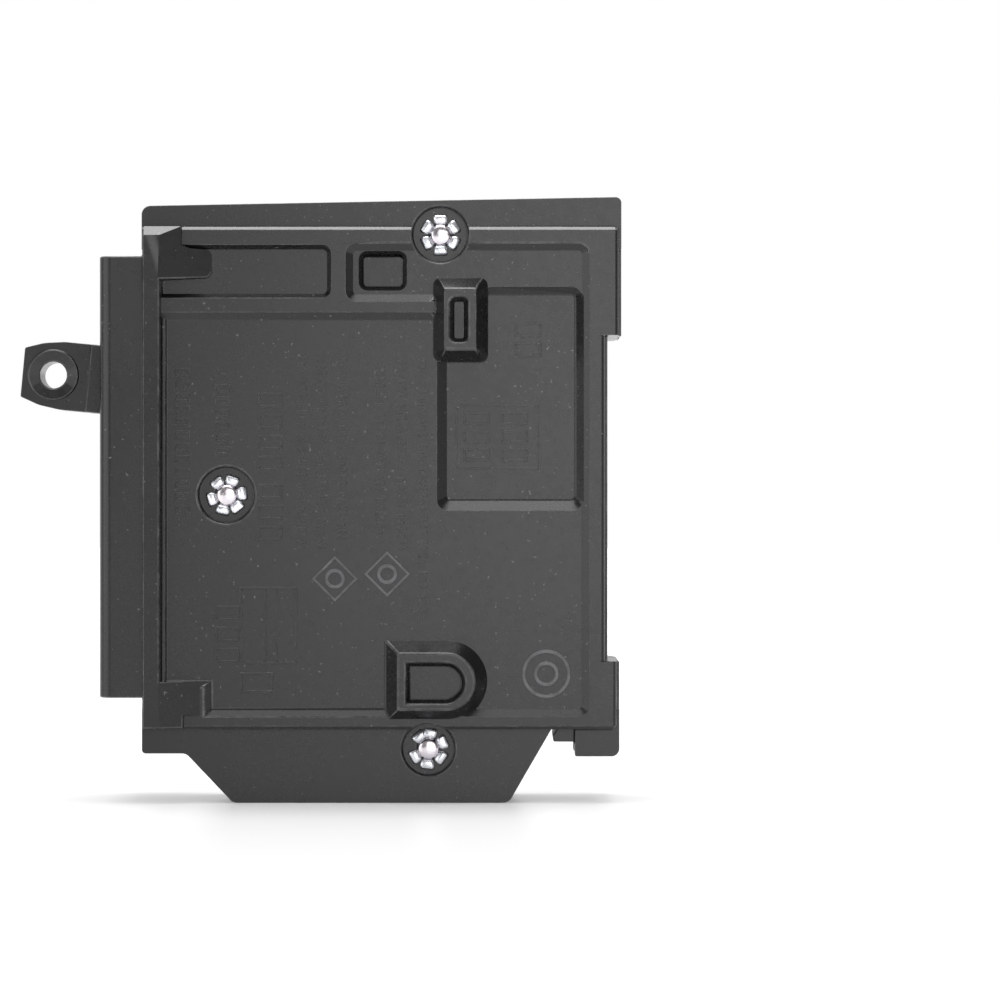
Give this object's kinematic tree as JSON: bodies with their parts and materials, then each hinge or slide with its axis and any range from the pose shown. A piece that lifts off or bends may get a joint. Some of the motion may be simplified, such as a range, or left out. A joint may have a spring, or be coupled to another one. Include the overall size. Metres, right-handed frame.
{
  "type": "circuit breaker",
  "caption": "Plug-on single-pole miniature circuit breaker: black moulded case one panel space wide, toggle handle, bus jaw, rail hook and captive wire terminal.",
  "frame": {"origin": "under the middle of the bounding box, on the plane of the foot's flat lower face", "axes": "+Z from the wire terminal end up to the bus jaw end; -X is the side the handle sticks out of (the panel's front), +X the panel side; -Y is the side with the flared rivet ends"},
  "size_m": [0.0766, 0.0254, 0.0767],
  "materials": {
    "case_plastic": "black moulded phenolic, satin, faintly mottled",
    "handle_plastic": "black moulded nylon, satin",
    "zinc_steel": "bright zinc plated steel",
    "steel": "plain stamped steel",
    "spring_steel": "polished spring steel",
    "copper": "bare copper, dulled",
    "tinned_copper": "tin plated copper with yellow-brown contact grease",
    "silver": "silver alloy, satin",
    "bimetal_strip": "rolled bimetal, satin",
    "fibre": "vulcanised fibre, matt"
  },
  "bodies": {
    "case": {"case_base": "case_plastic", "case_cover": "case_plastic", "case_rivets": "zinc_steel", "handle_pivot_pin": "steel", "trip_lever_pin": "steel", "armature_pin": "steel", "magnet_yoke": "steel", "bimetal": "bimetal_strip", "calibration_screw": "zinc_steel", "load_strap": "copper", "flexible_braid": "copper", "line_jaw": "tinned_copper", "jaw_spring_clip": "spring_steel", "stationary_contact": "silver", "arc_plates": "steel", "arc_chute_walls": "fibre"},
    "operating_handle": {"handle": "handle_plastic", "contact_arm_pin": "steel"},
    "moving_contact_arm": {"contact_arm": "copper", "moving_contact": "silver"},
    "trip_cradle": {"trip_lever": "steel", "toggle_spring": "spring_steel"},
    "latch_armature": {"armature": "steel", "armature_spring": "spring_steel"},
    "wire_clamp": {"pressure_plate": "zinc_steel"},
    "binding_screw": {"terminal_screw": "zinc_steel"}
  },
  "joints": [
    {"name": "handle_swing", "type": "hinge", "parent": "case", "child": "operating_handle", "pos_m": [-0.0137, 0, 0.0524], "axis": [0, 1, 0], "range_deg": [-29.9, 19.1], "deforming": ["toggle_spring"]},
    {"name": "contact_arm_swing", "type": "hinge", "parent": "operating_handle", "child": "moving_contact_arm", "pos_m": [-0.0089, 0, 0.052], "axis": [0, 1, 0], "range_deg": [-30.6, 47.9], "deforming": ["flexible_braid"]},
    {"name": "trip_lever_swing", "type": "hinge", "parent": "case", "child": "trip_cradle", "pos_m": [-0.003, 0, 0.0645], "axis": [0, 1, 0], "range_deg": [-14, 0]},
    {"name": "armature_pull", "type": "hinge", "parent": "case", "child": "latch_armature", "pos_m": [0.0216, 0, 0.0392], "axis": [0, 1, 0], "range_deg": [-3.5, 0], "stiffness_Nm_per_rad": 0.002, "springref_deg": 5.73, "deforming": ["armature_spring"]},
    {"name": "clamp_slide", "type": "slide", "parent": "case", "child": "wire_clamp", "axis": [1, 0, 0], "range_m": [0, 0.003]},
    {"name": "screw_turn", "type": "hinge", "parent": "wire_clamp", "child": "binding_screw", "pos_m": [-0.015, 0, 0.0102], "axis": [1, 0, 0], "range_deg": [0, 1361]}
  ],
  "couplings": [
    {"joint": "contact_arm_swing", "follows": "handle_swing", "ratio": -1.6},
    {"joint": "screw_turn", "follows": "clamp_slide", "rad_per_m": 7915.8}
  ]
}
